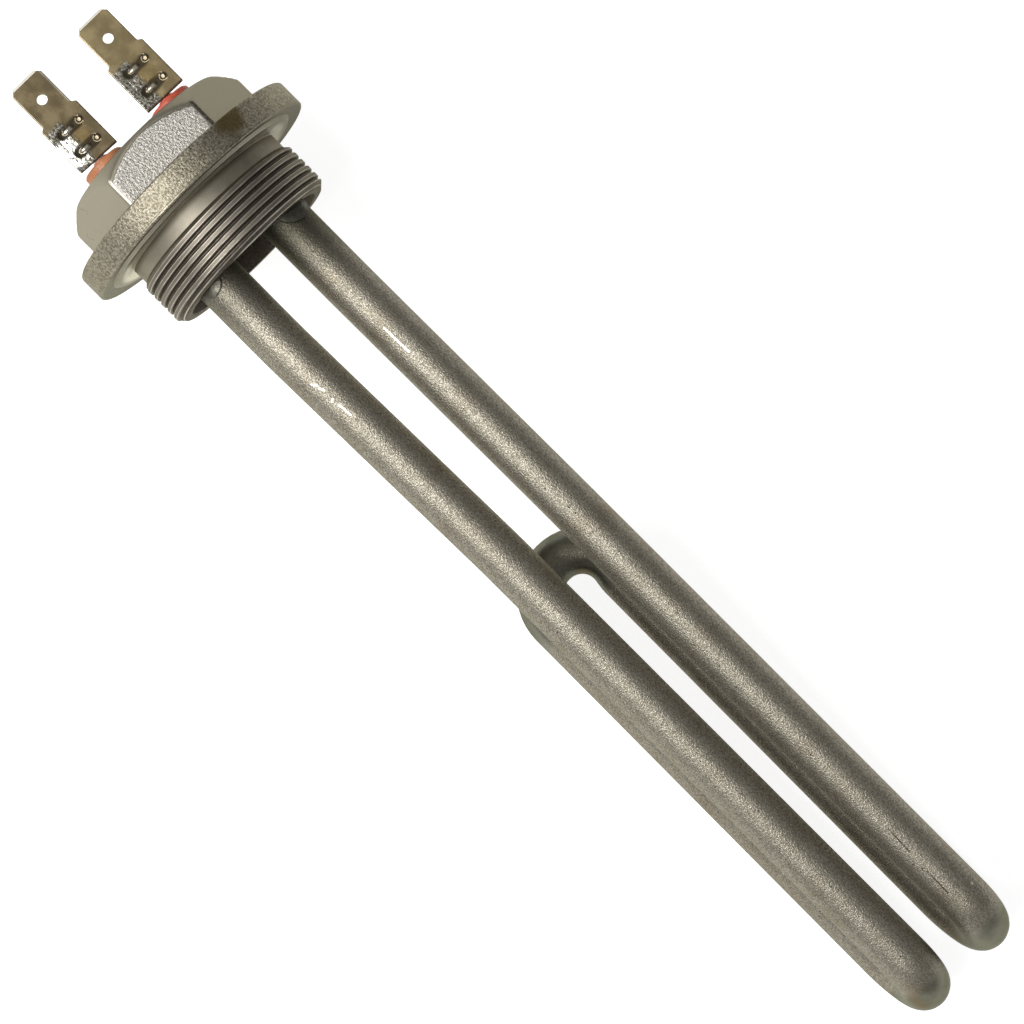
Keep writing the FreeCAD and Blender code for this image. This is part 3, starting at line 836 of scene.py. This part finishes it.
# Height of the upper face against the flat strip
def tabRelief(along, across):
    v = tab
    rise = 0.0
    for spot in v["spots"]:
        a = along - spot
        past = max(abs(across) - (v["slotLength"] / 2 - v["slotHalf"]), 0)
        rise -= v["slotDepth"] * max(0.0, 1 - (a * a + past * past) / v["slotHalf"] ** 2)
        lens = (a / v["lensHalf"]) ** 2 + ((across - v["lensAt"]) / v["lensLength"]) ** 2
        rise += v["lensHeight"] * max(0.0, 1 - lens)
        ball = (a * a + (across - v["ballAt"]) ** 2) / v["ballRadius"] ** 2
        rise += v["ballHeight"] * math.sqrt(max(0.0, 1 - ball))
    rough = smooth(-across, -0.2, 0.8) * (1 - smooth(along, *v["crinkleEnd"]))
    wave = meshNoise.noise(Vector((along, across, 4.0)) / v["crinkleSize"])
    return rise + v["crinkle"] * rough * min(0.0, wave - 0.1)


# Rows of corners along the strip, closer at its two ends
def tabRows():
    v = tab
    near = v["edge"]
    rows = [0.0, near * 0.3, near]
    while rows[-1] < v["length"] - near:
        rows.append(rows[-1] + v["step"])
    return rows[:-1] + [v["length"] - near, v["length"] - near * 0.3, v["length"]]


# Corners round the strip at one row, over the upper face and back under the lower one
def tabRing(side, along, columns):
    v = tab
    near = v["edge"]
    half = tabHalfWidth(along)
    inner = [-(half - near) + 2 * (half - near) * i / columns for i in range(columns + 1)]
    spread = [-half, -half + near * 0.3] + inner + [half - near * 0.3, half]
    toTip = v["length"] - along
    bevel = v["tipDrop"] * max(0.0, 1 - toTip / v["tipBevel"])
    ring = []
    for face in (1, -1):
        for across in spread[::face]:
            share = max(0.0, 1 - (half - abs(across)) / near, 1 - along / near, 1 - toTip / near)
            drop = near * (1 - math.sqrt(max(0.0, 1 - share * share))) + bevel
            relief = tabRelief(along, across) if face > 0 else 0.0
            z = v["top"] - (0 if face > 0 else v["thickness"]) - face * drop + relief
            slope = max(0.0, 1 - along / (v["length"] - v["bladeLength"]))
            x = v["foot"][side] - along - v["slant"][side] * (half - across) * slope
            ring.append(Vector((x, v["centre"][side] + across, z)) * mm)
    return ring


def makeTab(side):
    v = tab
    columns = math.ceil(v["width"] / v["step"])
    work = bmesh.new()
    closeRings(work, [[work.verts.new(place) for place in tabRing(side, along, columns)] for along in tabRows()])
    mesh = bpy.data.meshes.new("tab")
    work.to_mesh(mesh)
    work.free()
    name = "terminalTab" + side.capitalize()
    piece = addPiece(name, mesh, looks["tab"])
    tidyMesh(piece)
    work = bmesh.new()
    at = Vector((v["foot"][side] - v["length"] + v["holeAt"], v["centre"][side], v["top"]))
    radius = v["holeRadius"] * mm
    bmesh.ops.create_cone(work, cap_ends=True, segments=v["holeSegments"], radius1=radius, radius2=radius,
                          depth=v["punchDepth"] * mm, matrix=Matrix.Translation(at * mm))
    drill(piece, addCutter("punch", work))
    piece.data.set_sharp_from_angle(angle=math.radians(v["sharpAngle"]))
    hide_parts("terminal_tab_" + side)
    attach(piece, "root")
    print(name, len(piece.data.polygons), "faces")


for side in sides:
    makeTab(side)


def dressNodes():
    wear = {"insulation_fill": "powder", "resistance_coil": "wire", "cold_pin_left": "pin", "cold_pin_right": "pin",
            "end_seal_left": "sealLeft", "end_seal_right": "sealRight",
            "braze_fillet_left": "braze", "braze_fillet_right": "braze"}
    for node, look in wear.items():
        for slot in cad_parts[node].material_slots:
            slot.material = looks[look]
    print("carried-over nodes dressed:", len(wear))


dressNodes()


# Table, lamp, sky and camera

stand = {
    "flangeBottom": (0.04, -22.82), "tubeBottom": (168.0, -12.56), "drop": 0.02, "size": 3000.0, "white": 0.5,
    "shown": 0.85,
    "sky": {"front": 0.34, "above": 0.32, "behind": 0.20, "frontSpan": (-0.95, -0.2), "behindSpan": (0.2, 0.9)},
    "key": {"place": (-100, -280, 515), "target": (50, 0, 0), "size": (470, 280), "power": 4.1},
}


# One where a ray comes from the camera or from a mirror-like or clear surface
def shownRays(tree):
    rays = addNode(tree, "ShaderNodeLightPath").outputs
    camera, glossy, clear = [Flow(tree, rays["Is " + kind + " Ray"]) for kind in ("Camera", "Glossy", "Transmission")]
    return calc("MAXIMUM", camera, calc("MAXIMUM", glossy, clear))


# The top slopes as the line under the flange and the tube does, a hair below both
def makeFloor():
    v = stand
    (x1, z1), (x2, z2) = v["flangeBottom"], v["tubeBottom"]
    slope = (z2 - z1) / (x2 - x1)
    half = v["size"] / 2
    corners = [Vector((x, y, z1 + (x - x1) * slope - v["drop"]))
               for x, y in ((-half, -half), (half, -half), (half, half), (-half, half))]
    mesh = bpy.data.meshes.new("tableTop")
    mesh.from_pydata([corner * mm for corner in corners], [], [(0, 1, 2, 3)])
    material, tree, shader, place = newMaterial("paleTable", 0.0, 0.9, 0.1)
    shader.inputs["Base Color"].default_value = (v["white"],) * 3 + (1.0,)
    shader.inputs["Emission Color"].default_value = (1.0, 1.0, 1.0, 1.0)
    feed(shader.inputs["Emission Strength"], shownRays(tree) * v["shown"])
    addPiece("tableTop", mesh, material)


# Soft room: lighter towards -Y, dimmer overhead and towards +Y. The camera itself sees white
def makeWorld():
    sky = stand["sky"]
    world = bpy.data.worlds.new("studioSky")
    scene.world = world
    world.use_nodes = True
    tree = world.node_tree
    back = tree.nodes["Background"]
    back.inputs["Color"].default_value = (1.0, 1.0, 1.0, 1.0)
    side = axes(flow(tree, "ShaderNodeTexCoord", output="Generated"))[1]
    front = ramp(side, *sky["frontSpan"], sky["front"] - sky["above"], 0.0)
    behind = ramp(side, *sky["behindSpan"], 0.0, sky["behind"] - sky["above"])
    glow = front + behind + sky["above"]
    seen = flow(tree, "ShaderNodeLightPath", output="Is Camera Ray")
    feed(back.inputs["Strength"], calc("MAXIMUM", glow, seen))


# Area lamp whose long side stays along the heater
def addLamp(name, place, target, size, power):
    lamp = bpy.data.lights.new(name, "AREA")
    lamp.shape = "RECTANGLE"
    lamp.size = size[0] * mm
    lamp.size_y = size[1] * mm
    lamp.energy = power
    holder = bpy.data.objects.new(name, lamp)
    scene.collection.objects.link(holder)
    back = (Vector(place) - Vector(target)).normalized()
    across = (Vector((1, 0, 0)) - back * back.x).normalized()
    turned = Matrix((across, back.cross(across), back)).transposed().to_4x4()
    holder.matrix_world = Matrix.Translation(Vector(place) * mm) @ turned


view = {
    "place": (63.95, -24.83, 463.19), "lens": 99.65, "sensor": 36.0, "clip": 0.01,
    "right": (0.70392, 0.70848, 0.05042), "up": (-0.71007, 0.70364, 0.02611), "back": (-0.01698, -0.05418, 0.99839),
}


def makeCamera():
    camera = bpy.data.cameras.new("photoCamera")
    camera.lens = view["lens"]
    camera.sensor_width = view["sensor"]
    camera.clip_start = view["clip"]
    holder = bpy.data.objects.new("photoCamera", camera)
    scene.collection.objects.link(holder)
    turned = Matrix((view["right"], view["up"], view["back"])).transposed().to_4x4()
    holder.matrix_world = Matrix.Translation(Vector(view["place"]) * mm) @ turned
    scene.camera = holder


makeFloor()
makeWorld()
addLamp("softKey", **stand["key"])
makeCamera()
scene.view_settings.view_transform = "Standard"

bpy.context.view_layer.update()
print("scene ready")
